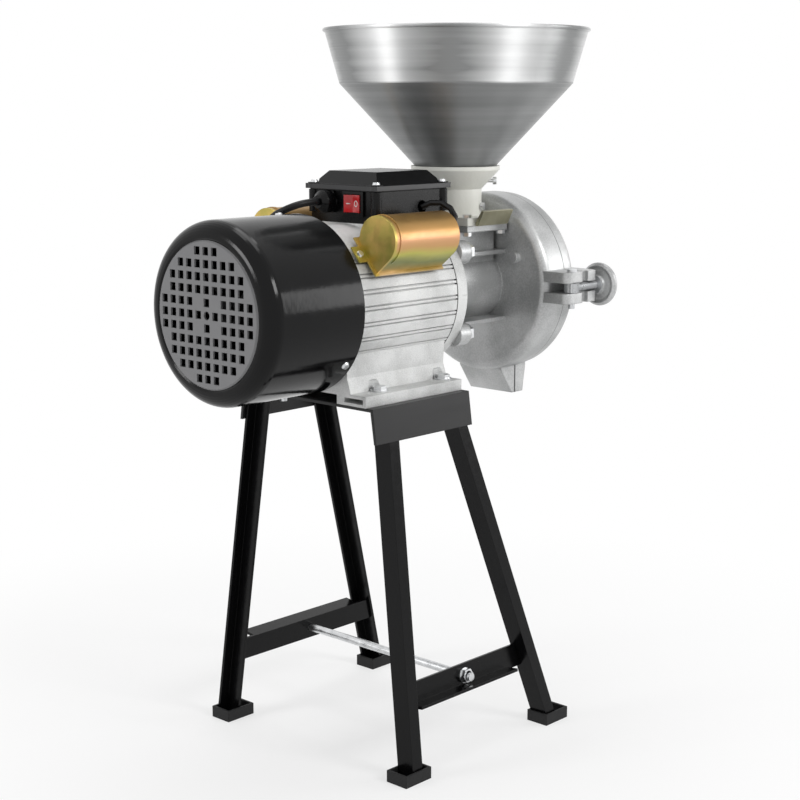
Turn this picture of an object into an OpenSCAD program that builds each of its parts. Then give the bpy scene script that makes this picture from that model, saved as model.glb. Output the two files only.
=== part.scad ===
// Electric grain mill: a capacitor motor on an angle-iron stand drives a
// feed auger and a pair of burr discs in a cast head under a spun hopper.
// Millimetres. X runs along the motor shaft towards the mill head and Z is up.
// Stations along the shaft are counted from the middle of the stand's feet; the
// if lines at the end shift the machine so that the origin lies on the floor
// under the middle of its bounding box.

/* [Motor] */
// Height of the shaft axis above the floor
axis_h = 459.5; // [455:0.5:465]
// Outer radius of the finned motor frame
frame_r = 75; // [74:0.5:76]
// Outer radius of the fan cowl
cowl_r = 87.5; // [86:0.5:89]
// Radius of the round grille field in the cowl
grille_r = 66; // [64:0.5:67]
// Pitch of the square grille holes
grille_pitch = 11.9; // [11.5:0.1:12.2]
// Side of one square grille hole
grille_hole = 7.6; // [7:0.1:8.2]
// Rotor radius
rotor_r = 36; // [35:0.5:36.5]

/* [Stand] */
// Height of the upper face of the stand top
stand_h = 366; // [365:0.5:366]
// Length of the stand top along the shaft
stand_len = 140; // [138:1:142]
// Width of a leg flange along the shaft
leg_face = 14; // [13:0.5:15]
// Depth of a leg flange across the shaft
leg_side = 20; // [18:0.5:21]
// Sheet thickness of legs and crossbars
steel_t = 3; // [2.5:0.5:3]
// Height of the crossbars above the floor
bar_h = 78; // [76:1:84]

/* [Mill head] */
// Outer radius of the grinding chamber
chamber_r = 97; // [96:0.5:98]
// Position of the parting plane between casing and door
parting_x = 183.6; // [183.6:0.1:183.6]
// Outer radius of the burr discs
burr_r = 60; // [58:1:62]
// Bore radius of the auger housing
auger_bore_r = 24; // [24:0.5:25]
// Height of the clamp ears above the shaft axis
clamp_dz = 1.5; // [1:0.5:3]

/* [Hopper] */
// Position of the hopper axis along the shaft
hopper_x = 116; // [115:0.5:117]
// Radius of the hopper mouth, without its rolled lip
hopper_r = 137; // [135:0.5:137]
// Height of the hopper mouth above the floor
hopper_top = 727.6; // [724:0.2:730]
// Sheet thickness of the hopper
hopper_t = 1.4; // [1:0.2:2]

/* [Cord] */
// Diameter of the mains lead
cord_d = 7; // [6.5:0.5:7]
// Turns in the stored coil
coil_turns = 6; // [6:1:6]

/* [Hidden] */
$fn = 72;
big = 400;
eps = 0.01;

// Motor stations along the shaft
frame_x0 = -119;
frame_x1 = 35;
stator_bore_r = rotor_r + 0.6;
frame_bore_r = frame_r - 10;
core_x0 = -78;
core_x1 = 2;
rear_brg_x = -113;
front_brg_x = 33;
brg_w = 14;
brg_r = 23.5;
journal_r = 10;
out_shaft_r = 9;
foot_half = 83;
foot_z = stand_h - axis_h;
foot_t = 11;
foot_x0 = -107;
foot_x1 = 32;
foot_bolt_x = [-73, 20];
foot_bolt_y = 68;
cowl_front = -231;
cowl_rim = -112;
cowl_t = 2;
cowl_screw_a = [54, 168, 306];
shield_screw_a = [0, 90, 180, 270];

// Stand: corner of each leg angle at the top reference height and the foot
leg_top_z = 330;
leg_top_y = 93;
leg_foot_z = 4;
leg_foot_y = 138;
leg_tilt = atan((leg_foot_y - leg_top_y) / (leg_top_z - leg_foot_z));
pad_y = 127.5;
pad_l = 36;
pad_w = 26;
pad_h = 12;
skirt_h = 34;
stand_mid_x = -37;
stand_half_y = 92;
skirt_y = stand_half_y + skirt_h * tan(leg_tilt);
bar_web = 24;
bar_in = 14;
// Distance up the leaning plane at which the web's middle is at the height of the bar
bar_up = (bar_h - leg_foot_z + (bar_in + steel_t / 2) * sin(leg_tilt)) / cos(leg_tilt);
bar_flange = 15;
tie_x = 4;

// Capacitor covers lie in a frame turned about the shaft axis
cap_tilt = 50;
cap_r = 23.5;
cap_up = 100.4;
cap_x0 = -84;
cap_x1 = 8;
can_l = 76;
cap_base = frame_r + 2.6;
cap_screw_x = [cap_x0 - 7, cap_x1 + 7];
cap_inner = 17;
cap_lip = 2.5;
cap_tab = 13;

// Switch box
box_x = -2;
box_l = 100;
box_w = 90;
box_z0 = 535;
box_z1 = 566.5;
box_t = 2.5;
lid_z = box_z1 + 1;
lid_l = 108;
lid_w = 99;
lid_flange = 5;
lid_top = 585;
lid_ear = [58, 53];
switch_y = -14.5;
switch_z = 554.5;
switch_w = 25;
switch_h = 21;
gland_y = 18;
gland_z = 555.5;
gland_tip = -70;

// Mill head
neck_r = 38;
head_x0 = 50;
plate_x = 150;
rib_reach = 41;
rib_t = 4.4;
wall_in_r = chamber_r - 11;
head_bolt_y = 55;
head_bolt_z = 42;
duct_x0 = 86;
duct_x1 = 147;
duct_half = 28;
duct_top = 526;
duct_rim = 7;
feed_r = 19.5;
spout_half = 29.5;
spout_z = 337;
door_face = 205;
door_in = 199;
hinge_y = 117;
hinge_r = 4;
boss_x = 219;
ear_gap = 11;
ear_t = 11;
ear_y = 118;
ear_end = 124;
pin_x = 167;
pin_r = 3.5;
bolt_r = 5;
wheel_x = 208.5;
wheel_r = 23;
clamp_z = axis_h + clamp_dz;
screw_r = 8;
// Station of the adjusting screw's outer end, inside its handwheel
wheel_seat = 233;
burr_pins = [90, 210, 330];
burr_pin_r = 4;
burr_pin_at = 42;

// Feed throat and gate
throat_z0 = duct_top;
throat_neck_r = 28;
throat_z1 = 586;
seat_gap = 0.3;
tube_r = 22.6;
tube_z = 536;
gate_z0 = duct_top + 0.1;
gate_t = 3;
gate_w = 44;
gate_x = 118;
gate_tab = [92, 48];
shoulder_r = 122.2;
shoulder_z = 671.2;
// Height at which the hopper's cone narrows to its outlet tube
cone_z = 564;
clip_neck = [-65, 55, 175];
clip_cone = [-44, 76, 196];
clip_neck_z = 543.5;
clip_cone_z = 570;

// Cord route from the gland to the coil, and from the coil to the plug
coil_c = [-25, 83.5, 427.5];
coil_mid_r = 40;
coil_rows = 3;
coil_cols = 2;
coil_out_r = coil_mid_r + coil_rows * cord_d / 2;
coil_in_r = coil_mid_r - coil_rows * cord_d / 2;
coil_half = coil_cols * cord_d / 2;
cord_route = [
    [-70, 18, 555.5], [-74.5, 18, 555.5], [-79, 18, 555.5], [-89.7, 19.9, 554.5],
    [-98.8, 25.1, 551.5], [-104.9, 33.1, 547], [-107, 42.4, 541.8], [-107, 58.5, 529.2],
    [-106.9, 70.9, 514.9], [-107, 79.8, 501], [-106.6, 84.4, 490], [-104, 87.2, 479],
    [-98.2, 88.2, 469.6], [-89.8, 87.2, 461.4], [-81.8, 84.8, 452.6], [-75.6, 82.2, 441.5],
    [-72.6, 80.5, 431.5]
];
tail_route = [
    [21.7, 87.4, 435], [19.2, 88.4, 443.6], [13.5, 91.3, 454.5], [5.2, 94.6, 463.5],
    [-5.6, 97, 469.1], [-17.7, 99.4, 469.6], [-28.9, 101.4, 465], [-37, 102.7, 456],
    [-40.4, 103, 446.9], [-40.8, 103, 440], [-40.8, 103, 436]
];
plug_c = [-40.8, 103, 436];

// Point on a circle arc, as a list of points
function arc(cx, cy, r, a0, a1, n = 10) =
    [for (i = [0:n]) let (a = a0 + (a1 - a0) * i / n) [cx + r * cos(a), cy + r * sin(a)]];
function unit(v) = v / norm(v);
function tangent(p, i) = unit(p[min(i + 1, len(p) - 1)] - p[max(i - 1, 0)]);

// Tube of n sides through the points p; ref is never parallel to the route
module tube(p, r, ref, n = 10) {
    rings = [for (i = [0:len(p) - 1])
        let (t = tangent(p, i), u = unit(cross(t, ref)), v = cross(t, u))
        for (k = [0:n - 1]) p[i] + r * (cos(360 * k / n) * u + sin(360 * k / n) * v)];
    sides = [for (i = [0:len(p) - 2], k = [0:n - 1])
        [i * n + k, i * n + (k + 1) % n, (i + 1) * n + (k + 1) % n, (i + 1) * n + k]];
    first = [for (k = [0:n - 1]) n - 1 - k];
    last = [for (k = [0:n - 1]) (len(p) - 1) * n + k];
    polyhedron(rings, concat([first], [for (s = sides) s], [last]), convexity = 4);
}

// Local z becomes the shaft axis, starting at station x
module axial(x = 0) translate([x, 0, axis_h]) rotate([0, 90, 0]) children();
// A cross-section drawn in Y and Z, extruded along the shaft
module section(x, len) translate([x, 0, axis_h]) rotate([90, 0, 90]) linear_extrude(len) children();
// A ring about the shaft axis
module ring(x, len, ro, ri) axial(x) difference() {
    cylinder(r = ro, h = len);
    translate([0, 0, -1]) cylinder(r = ri, h = len + 2);
}
// Hexagon of a given width across flats
module hex(af, h) cylinder(d = af / cos(30), h = h, $fn = 6);
// Shifts the machine so that its middle stands over the origin
lip_r = 2;
middle_x = (hopper_x + hopper_r + 0.6 + lip_r + cowl_front) / 2;
module centred() translate([-middle_x, 0, 0]) children();
// Box between two corners
module block(a, b) translate(a) cube(b - a);
// Puts the children in the leaning plane of one pair of legs; -1 is near, 1 is far
module leaning(side) mirror([0, side > 0 ? 1 : 0, 0])
    translate([0, -leg_foot_y, leg_foot_z]) rotate([-leg_tilt, 0, 0]) children();
// Turns the children about the shaft so that local z points to a capacitor
module capacitor_frame(side) translate([0, 0, axis_h]) rotate([-side * cap_tilt, 0, 0]) children();

/* ---------- stand ---------- */

// Saddle of folded sheet: a flat top with two skirts that lean out like the legs
module stand_top() color("#1c1d1f") difference() {
    section(stand_mid_x - stand_len / 2, stand_len) translate([0, stand_h - axis_h]) polygon([
        [-skirt_y, -skirt_h], [-stand_half_y, 0], [stand_half_y, 0], [skirt_y, -skirt_h],
        [skirt_y - steel_t, -skirt_h], [stand_half_y - steel_t, -steel_t],
        [steel_t - stand_half_y, -steel_t], [steel_t - skirt_y, -skirt_h]]);
    for (x = foot_bolt_x, s = [-1, 1]) translate([x, s * foot_bolt_y, stand_h - 9]) cylinder(r = 5.5, h = 20);
}

// One leg: an angle whose corner edge runs from the foot to the stand top
module leg(side, top_x, foot_x, turn) {
    lean = atan((top_x - foot_x) / (leg_top_z - leg_foot_z) * cos(leg_tilt));
    color("#17181a") intersection() {
        leaning(side) translate([foot_x, 0, 0]) rotate([0, lean, 0]) translate([0, 0, -30])
            linear_extrude(440) mirror([turn < 0 ? 1 : 0, 0]) polygon([
                [0, 0], [leg_face, 0], [leg_face, steel_t], [steel_t, steel_t],
                [steel_t, leg_side], [0, leg_side]]);
        block([-big, -big, leg_foot_z], [big, big, stand_h - steel_t]);
    }
}
module leg_fan_near() leg(-1, -85, -99, 1);
module leg_head_near() leg(-1, 16, 113, 1);
module leg_fan_far() leg(1, -90, -97, -1);
module leg_head_far() leg(1, 10, 127, -1);

// One crossbar between two legs: an angle whose web is set back from their outer faces.
// The ends follow the lean of the legs: x0 and x1 at the bottom edge, x2 and x3 at the top
module crossbar(side, x0, x1, x2, x3, flange_up) color("#141516") leaning(side)
    translate([0, bar_in, bar_up]) {
        difference() {
            translate([0, steel_t, 0]) rotate([90, 0, 0]) linear_extrude(steel_t) polygon([
                [x0, -bar_web / 2], [x1, -bar_web / 2], [x3, bar_web / 2], [x2, bar_web / 2]]);
            translate([tie_x, -1, 0]) rotate([-90, 0, 0]) cylinder(r = 4.6, h = 6);
        }
        block([max(x0, x2) + 14, -bar_flange, flange_up ? bar_web / 2 - steel_t : -bar_web / 2],
              [min(x1, x3) - 16, 0.5, flange_up ? bar_web / 2 : steel_t - bar_web / 2]);
    }
module crossbar_near() crossbar(-1, -93.2, 93.7, -92.2, 86.7, false);
module crossbar_far() crossbar(1, -95.6, 100.6, -95.1, 92, true);

// Rubber shoe: a tray with a rim round the leg
module foot_pads() color("#202123")
    for (p = [[-94, -1], [125.5, -1], [-98, 1], [124.5, 1]])
        translate([p[0] - pad_l / 2, p[1] * pad_y - pad_w / 2, 0]) difference() {
            cube([pad_l, pad_w, pad_h]);
            translate([2.5, 2.2, leg_foot_z]) cube([pad_l - 5, pad_w - 4.4, pad_h]);
        }

// Distance of the crossbars' outer faces from the middle plane, at the tie rod
tie_y = leg_foot_y - (bar_h - leg_foot_z) * tan(leg_tilt) - bar_in / cos(leg_tilt);
module tie_rod() color("#c9ccc8") translate([tie_x, tie_y + 10, bar_h])
    rotate([90, 0, 0]) cylinder(r = 4.2, h = 2 * tie_y + 20);
module tie_rod_nuts() color("#d8dad6") for (s = [-1, 1]) {
    translate([tie_x, s * tie_y, bar_h]) rotate([-s * (90 - leg_tilt), 0, 0]) difference() {
        union() {
            cylinder(r = 8, h = 1.4);
            hex(13, 6.2);
        }
        translate([0, 0, -1]) cylinder(r = 5.1, h = 12);
    }
}

/* ---------- motor ---------- */

module motor_foot_bolts() color("#c6c8c4")
    for (x = foot_bolt_x, s = [-1, 1]) translate([x, s * foot_bolt_y, 0]) {
        translate([0, 0, stand_h - 16]) cylinder(r = 4, h = 27);
        translate([0, 0, stand_h + foot_t]) hex(13, 4.8);
        translate([0, 0, stand_h + foot_t]) cylinder(r = 9, h = 1.4);
        translate([0, 0, stand_h - 12]) hex(13, 9);
    }

// Finned barrel; over the feet it also has a flared pedestal, and under the switch box a pad
module motor_frame() color("#b9bcbd") difference() {
    union() {
        section(frame_x0, frame_x1 - frame_x0) difference() {
            circle(r = frame_r, $fn = 144);
            for (a = [-36:12:36], s = [0, 180], d = [-1.5, 1.5]) rotate(a + s + d)
                translate([frame_r - 2.2, -0.7]) square([6, 1.4]);
        }
        section(foot_x0, foot_x1 - foot_x0) {
            polygon([[-66, foot_z], [66, foot_z], [62, foot_z + 14], [58, foot_z + 26], [60, -40],
                     [-60, -40], [-58, foot_z + 26], [-62, foot_z + 14]]);
            translate([-foot_half, foot_z]) square([2 * foot_half, foot_t]);
        }
        section(box_x - 50, 84) translate([-34, 30]) square([68, box_z0 - axis_h - 30]);
        for (s = [-1, 1], x = cap_screw_x) capacitor_frame(s)
            translate([x, 0, 62]) cylinder(r = 4.5, h = cap_base - 62);
    }
    axial(frame_x0 - 1) cylinder(r = frame_bore_r, h = frame_x1 - frame_x0 + 2);
    section(foot_x0 - 20, 200) {
        translate([-44, foot_z - 1]) square([88, 10]);
        for (s = [-1, 1]) translate([s * 66.5 - 12.5, foot_z + 3]) square([25, 4.6]);
    }
    for (x = foot_bolt_x, s = [-1, 1]) translate([x, s * foot_bolt_y, stand_h - 1]) {
        cylinder(r = 5, h = foot_t + 2);
        translate([0, 0, foot_t + 1]) cylinder(r = 10, h = 10);
    }
    for (a = shield_screw_a) axial() rotate(a) translate([frame_r - 5, 0, 0]) {
        translate([0, 0, frame_x1 - 14]) cylinder(r = 2, h = 20);
        translate([0, 0, frame_x0 - 1]) cylinder(r = 2, h = 14);
    }
    for (s = [-1, 1], x = cap_screw_x) capacitor_frame(s)
        translate([x, 0, cap_base - 6]) cylinder(r = 1.9, h = 8);
}

module stator_core() color("#8b8f93") axial(core_x0) difference() {
    cylinder(r = frame_bore_r - 0.1, h = core_x1 - core_x0);
    translate([0, 0, -1]) cylinder(r = stator_bore_r, h = 100);
    for (i = [0:23]) rotate(i * 15) translate([40, -3, -1]) cube([16, 6, 100]);
}
module windings() color("#a8562a") axial(core_x0) {
    for (i = [0:23]) rotate(i * 15) translate([40.5, -2.6, -8]) cube([15, 5.2, core_x1 - core_x0 + 16]);
    for (z = [-17, core_x1 - core_x0 + 1]) rotate_extrude() translate([41, z]) square([18, 16]);
}

module rear_end_shield() color("#b2b5b6") difference() {
    union() {
        ring(frame_x0 - 6, 6, frame_r, brg_r - 4);
        ring(frame_x0 - eps, 7, frame_bore_r - 0.05, brg_r + 6);
        ring(frame_x0 - 6, 24, brg_r + 6.5, brg_r - 4);
        for (a = cowl_screw_a) axial(frame_x0) rotate(a) translate([frame_r - 8, -6, -6])
            cube([cowl_r - cowl_t - 0.3 - frame_r + 8, 12, 6]);
    }
    axial(rear_brg_x) cylinder(r = brg_r, h = 20);
    for (a = shield_screw_a) axial() rotate(a) translate([frame_r - 5, 0, frame_x0 - 8])
        cylinder(r = 2.2, h = 10);
    for (a = cowl_screw_a) axial(frame_x0 - 3) rotate(a) rotate([0, 90, 0])
        translate([0, 0, frame_r + 2]) cylinder(r = 1.6, h = 20);
}
module front_end_shield() color("#b4b7b8") difference() {
    union() {
        ring(frame_x1, head_x0 - frame_x1, frame_r - 0.2, 14);
        ring(frame_x1 - 7, 7 + eps, frame_bore_r - 0.05, brg_r + 6);
        ring(frame_x1 - 13, 14, brg_r + 6.5, 14);
    }
    axial(frame_x1 - 14) cylinder(r = brg_r, h = front_brg_x + brg_w - frame_x1 + 14);
    for (a = shield_screw_a) axial(frame_x1 - 1) rotate(a) translate([frame_r - 5, 0, 0]) {
        cylinder(r = 2.2, h = 30);
        translate([0, 0, 9]) cylinder(r = 4.6, h = 30);
    }
    for (y = [-1, 1], z = [-1, 1]) translate([frame_x1 - 1, y * head_bolt_y, axis_h + z * head_bolt_z])
        rotate([0, 90, 0]) cylinder(r = 5, h = 30);
}
// Screws that hold both end shields to the frame
module shield_screws() color("#9a9d9f") for (a = shield_screw_a) axial() rotate(a)
    translate([frame_r - 5, 0, 0]) {
        translate([0, 0, frame_x1 - 12]) cylinder(r = 1.9, h = 20);
        translate([0, 0, frame_x1 + 8]) cylinder(r = 4.2, h = 4);
        translate([0, 0, frame_x0 - 6]) cylinder(r = 1.9, h = 16);
        translate([0, 0, frame_x0 - 9.5]) cylinder(r = 4.2, h = 3.5);
    }

// Outer rings of both ball bearings with their balls
module bearing_outer_races() color("#c8cacc") for (x = [rear_brg_x, front_brg_x]) {
    ring(x, brg_w, brg_r - 0.02, 20.2);
    axial(x + brg_w / 2) for (i = [0:7]) rotate(i * 45) translate([16.9, 0, 0]) sphere(r = 3.4, $fn = 24);
}
module bearing_inner_races() color("#d4d6d8")
    for (x = [rear_brg_x, front_brg_x]) ring(x, brg_w, 13.1, journal_r);

// Stepped shaft: fan seat, journals, rotor seat, and the long mill end
module shaft() color("#a7aaad") {
    axial(-206) cylinder(r = 8, h = 206 + rear_brg_x);
    axial(rear_brg_x) cylinder(r = journal_r, h = 22);
    axial(rear_brg_x + 20) cylinder(r = 12.5, h = 121);
    axial(20) cylinder(r = journal_r, h = 28);
    axial(47) cylinder(r = out_shaft_r, h = 134);
}
module rotor_core() color("#84888c") axial(core_x0) difference() {
    union() {
        cylinder(r = rotor_r, h = core_x1 - core_x0);
        translate([0, 0, -7]) cylinder(r = rotor_r - 5, h = core_x1 - core_x0 + 14);
        for (i = [0:5]) rotate(i * 60) translate([20, -1.5, -12]) cube([10, 3, core_x1 - core_x0 + 24]);
    }
    translate([0, 0, -20]) cylinder(r = 12.5, h = 140);
}
module fan() color("#26282a") axial() difference() {
    union() {
        translate([0, 0, -204]) cylinder(r = 14, h = 40);
        translate([0, 0, -168]) cylinder(r = 66, h = 2.5);
        for (i = [0:7]) rotate(i * 45) translate([12, -1.2, -202]) cube([54, 2.4, 36]);
    }
    translate([0, 0, -210]) cylinder(r = 8, h = 60);
}

// Grille rows: the half-width of each row of holes, counted from the middle row
grille_rows = [5, 5, 4, 4, 3, 1];
module grille_holes() {
    for (row = [-5:5], col = [-5:5])
        if (abs(col) <= grille_rows[abs(row)] && !(row == 0 && col == 0) && !(abs(row) == 1 && abs(col) == 1))
            translate([row * grille_pitch - grille_hole / 2, col * grille_pitch - grille_hole / 2])
                square(grille_hole);
    circle(r = 4, $fn = 48);
}
module fan_cowl() color("#15161a") axial() difference() {
    rotate_extrude($fn = 144) polygon(concat(
        [[0, cowl_front], [68, cowl_front], [69.5, cowl_front + 1.6], [71.5, cowl_front + 0.6]],
        arc(cowl_r - 15, cowl_front + 15.6, 15, -90, 0, 8),
        [[cowl_r, cowl_rim], [cowl_r - cowl_t, cowl_rim]],
        arc(cowl_r - 15, cowl_front + 15.6, 13, 0, -90, 8),
        [[0, cowl_front + 2.6]]));
    translate([0, 0, cowl_front - 2]) linear_extrude(8) grille_holes();
    for (a = cowl_screw_a) rotate(a) translate([cowl_r - 6, 0, frame_x0 - 3])
        rotate([0, 90, 0]) cylinder(r = 2.3, h = 12);
}
// Screws of the cowl and of both capacitor covers
module cover_screws() color("#c2c4c2") {
    for (a = cowl_screw_a) axial(frame_x0 - 3) rotate(a) rotate([0, 90, 0]) {
        translate([0, 0, frame_r + 4]) cylinder(r = 1.55, h = cowl_r - frame_r - 3.5);
        translate([0, 0, cowl_r]) cylinder(r1 = 4.2, r2 = 3, h = 2.2);
    }
    for (s = [-1, 1], x = cap_screw_x) capacitor_frame(s)
        translate([x, 0, 0]) {
            translate([0, 0, cap_base - 5]) cylinder(r = 1.85, h = 7);
            translate([0, 0, cap_base + 1.6]) cylinder(r1 = 3.8, r2 = 3, h = 2);
        }
}

/* ---------- capacitors ---------- */

// Box under the round of a cover: its outer side is level with the round, its inner side set in
module cap_block(side, x0, x1, more, z0, z1)
    block([x0, min(side * (cap_r + more), -side * (cap_inner + more)), z0],
          [x1, max(side * (cap_r + more), -side * (cap_inner + more)), z1]);
module capacitor_cover(side) color("#c79a3c") difference() {
    capacitor_frame(side) {
        difference() {
            union() {
                translate([cap_x0, 0, cap_up]) rotate([0, 90, 0]) cylinder(r = cap_r, h = cap_x1 - cap_x0);
                translate([cap_x0 + 7, 0, cap_up]) rotate([0, 90, 0]) cylinder(r = cap_r + 0.8, h = 3);
                cap_block(side, cap_x0, cap_x1, 0, cap_base, cap_up);
            }
            translate([cap_x0 + 1.5, 0, cap_up]) rotate([0, 90, 0])
                cylinder(r = cap_r - 1.4, h = cap_x1 - cap_x0 - 3);
        }
        difference() {
            union() {
                cap_block(side, cap_x0 - cap_lip, cap_x1 + cap_lip, cap_lip, cap_base, cap_base + 1.6);
                block([cap_x0 - cap_tab, -9, cap_base], [cap_x1 + cap_tab, 9, cap_base + 1.6]);
            }
            for (x = cap_screw_x) translate([x, 0, cap_base - 2]) cylinder(r = 2.2, h = 8);
        }
    }
    translate([cap_x1 - 4, side * 76, 527.5]) rotate([0, 90, 0]) cylinder(r = 3.6, h = 8);
}
module capacitor_cover_near() capacitor_cover(-1);
module capacitor_cover_far() capacitor_cover(1);
// The two cans, with their rims and terminals
module capacitors() color("#d9dadb") for (s = [-1, 1]) capacitor_frame(s)
    translate([cap_x0 + 3, 0, cap_up]) rotate([0, 90, 0]) {
        cylinder(r = cap_r - 2.4, h = can_l);
        for (y = [-8, 8]) translate([-0.9, y - 3, can_l]) cube([1.8, 6, 7]);
    }
lead_route = [[14, 44, 549], [20, 51, 553], [27, 59, 553], [32, 67, 548],
              [32, 73, 540], [26, 76, 532], [18, 76, 528], [8, 76, 527.5]];
module capacitor_leads() color("#0f1011") for (s = [-1, 1])
    tube([for (p = lead_route) [p[0], s * p[1], p[2]]], 3.2, [-0.8, s * 0.33, 1], 8);

/* ---------- switch box ---------- */

module box_wall(x, y, z0, z1) block([box_x - x / 2, -y / 2, z0], [box_x + x / 2, y / 2, z1]);
module at_box_corners() for (x = [-1, 1], y = [-1, 1])
    translate([box_x + x * (box_l / 2 - 2), y * (box_w / 2 - 2), 0]) children();
module switch_box() color("#191a1c") difference() {
    union() {
        box_wall(box_l, box_w, box_z0, box_z1);
        at_box_corners() translate([0, 0, box_z1 - 22]) cylinder(r = 5.5, h = 22);
    }
    box_wall(box_l - 2 * box_t, box_w - 2 * box_t, box_z0 + box_t, box_z1 + 1);
    block([box_x - box_l / 2 - 9, switch_y - switch_w / 2, switch_z - switch_h / 2],
          [box_x - box_l / 2 + 9, switch_y + switch_w / 2, switch_z + switch_h / 2]);
    translate([box_x - box_l / 2 - 9, gland_y, gland_z]) rotate([0, 90, 0]) cylinder(r = 7.5, h = 20);
    for (s = [-1, 1]) translate([14, s * (box_w / 2 - 6), 549.5]) rotate([-s * 90, 0, 0])
        cylinder(r = 6.3, h = 12);
    at_box_corners() translate([0, 0, box_z1 - 12]) cylinder(r = 1.6, h = 14);
}
module box_gasket() color("#2c2d2e") difference() {
    box_wall(box_l + 2, box_w + 2, box_z1, lid_z);
    box_wall(box_l - 12, box_w - 12, box_z1 - 1, lid_z + 1);
    at_box_corners() translate([0, 0, box_z1 - 1]) cylinder(r = 2, h = 5);
}
module box_lid() color("#1b1c1e") difference() {
    union() {
        box_wall(lid_l, lid_w, lid_z, lid_z + lid_flange);
        hull() {
            box_wall(lid_l - 12, lid_w - 12, lid_z + lid_flange - eps, lid_z + lid_flange);
            box_wall(lid_l - 34, lid_w - 34, lid_top - eps, lid_top);
        }
        at_box_corners() translate([0, 0, lid_z]) cylinder(r = 6.5, h = lid_flange + 1);
    }
    at_box_corners() translate([0, 0, lid_z - 1]) cylinder(r = 2.2, h = 20);
    at_box_corners() translate([0, 0, lid_z + lid_flange + 1]) cylinder(r = 5, h = 20);
}
module lid_screws() color("#c9cbc9") at_box_corners() {
    translate([0, 0, box_z1 - 10]) cylinder(r = 1.55, h = 18);
    translate([0, 0, lid_z + lid_flange + 1]) cylinder(r1 = 4, r2 = 3, h = 2.4);
}
// Snap-in switch: a bezel on the box wall and a body behind it, open at the front
module switch_body() color("#202124") difference() {
    union() {
        block([box_x - box_l / 2 - 2.4, switch_y - switch_w / 2 - 2, switch_z - switch_h / 2 - 2],
              [box_x - box_l / 2, switch_y + switch_w / 2 + 2, switch_z + switch_h / 2 + 1.5]);
        block([box_x - box_l / 2 - 1, switch_y - switch_w / 2 + 0.2, switch_z - switch_h / 2 + 0.2],
              [box_x - box_l / 2 + 24, switch_y + switch_w / 2 - 0.2, switch_z + switch_h / 2 - 0.2]);
    }
    block([box_x - box_l / 2 - 9, switch_y - switch_w / 2 + 1.6, switch_z - switch_h / 2 + 1.6],
          [box_x - box_l / 2 + 14, switch_y + switch_w / 2 - 1.6, switch_z + switch_h / 2 - 1.6]);
    translate([box_x - box_l / 2 + 4, switch_y, switch_z - switch_h / 2 - 1]) cylinder(r = 1.55, h = 40);
}
// Rocker with two flat faces that meet in the middle, on an upright pivot
rocker_a = 8;
module rocker() color("#c61f2b") translate([box_x - box_l / 2 + 4, switch_y, switch_z])
    rotate([0, 0, rocker_a]) {
    translate([0, 0, -switch_h / 2 + 2]) linear_extrude(switch_h - 4) polygon([
        [-6.8, 0], [-9, 9.4], [-4, 9.9], [3, 3], [3, -3], [-4, -9.9], [-9, -9.4]]);
    translate([0, 0, -switch_h / 2 + 0.5]) cylinder(r = 1.5, h = switch_h - 1);
}
module cable_gland() color("#161719") translate([gland_tip, gland_y, gland_z])
    rotate([0, 90, 0]) difference() {
    union() {
        translate([0, 0, 12]) cylinder(r = 7.4, h = 14);
        translate([0, 0, 15]) rotate(30) hex(21.6, 3);
        translate([0, 0, 5]) cylinder(r = 11, h = 10);
        cylinder(r1 = 6.5, r2 = 11, h = 5);
        translate([0, 0, 20.5]) rotate(30) hex(20, 4);
    }
    translate([0, 0, 14]) cylinder(r = cord_d / 2, h = 20);
}

/* ---------- mill head ---------- */

module lug(y, z) translate([0, y * head_bolt_y, axis_h + z * head_bolt_z]) rotate([0, 90, 0]) children();

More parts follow.
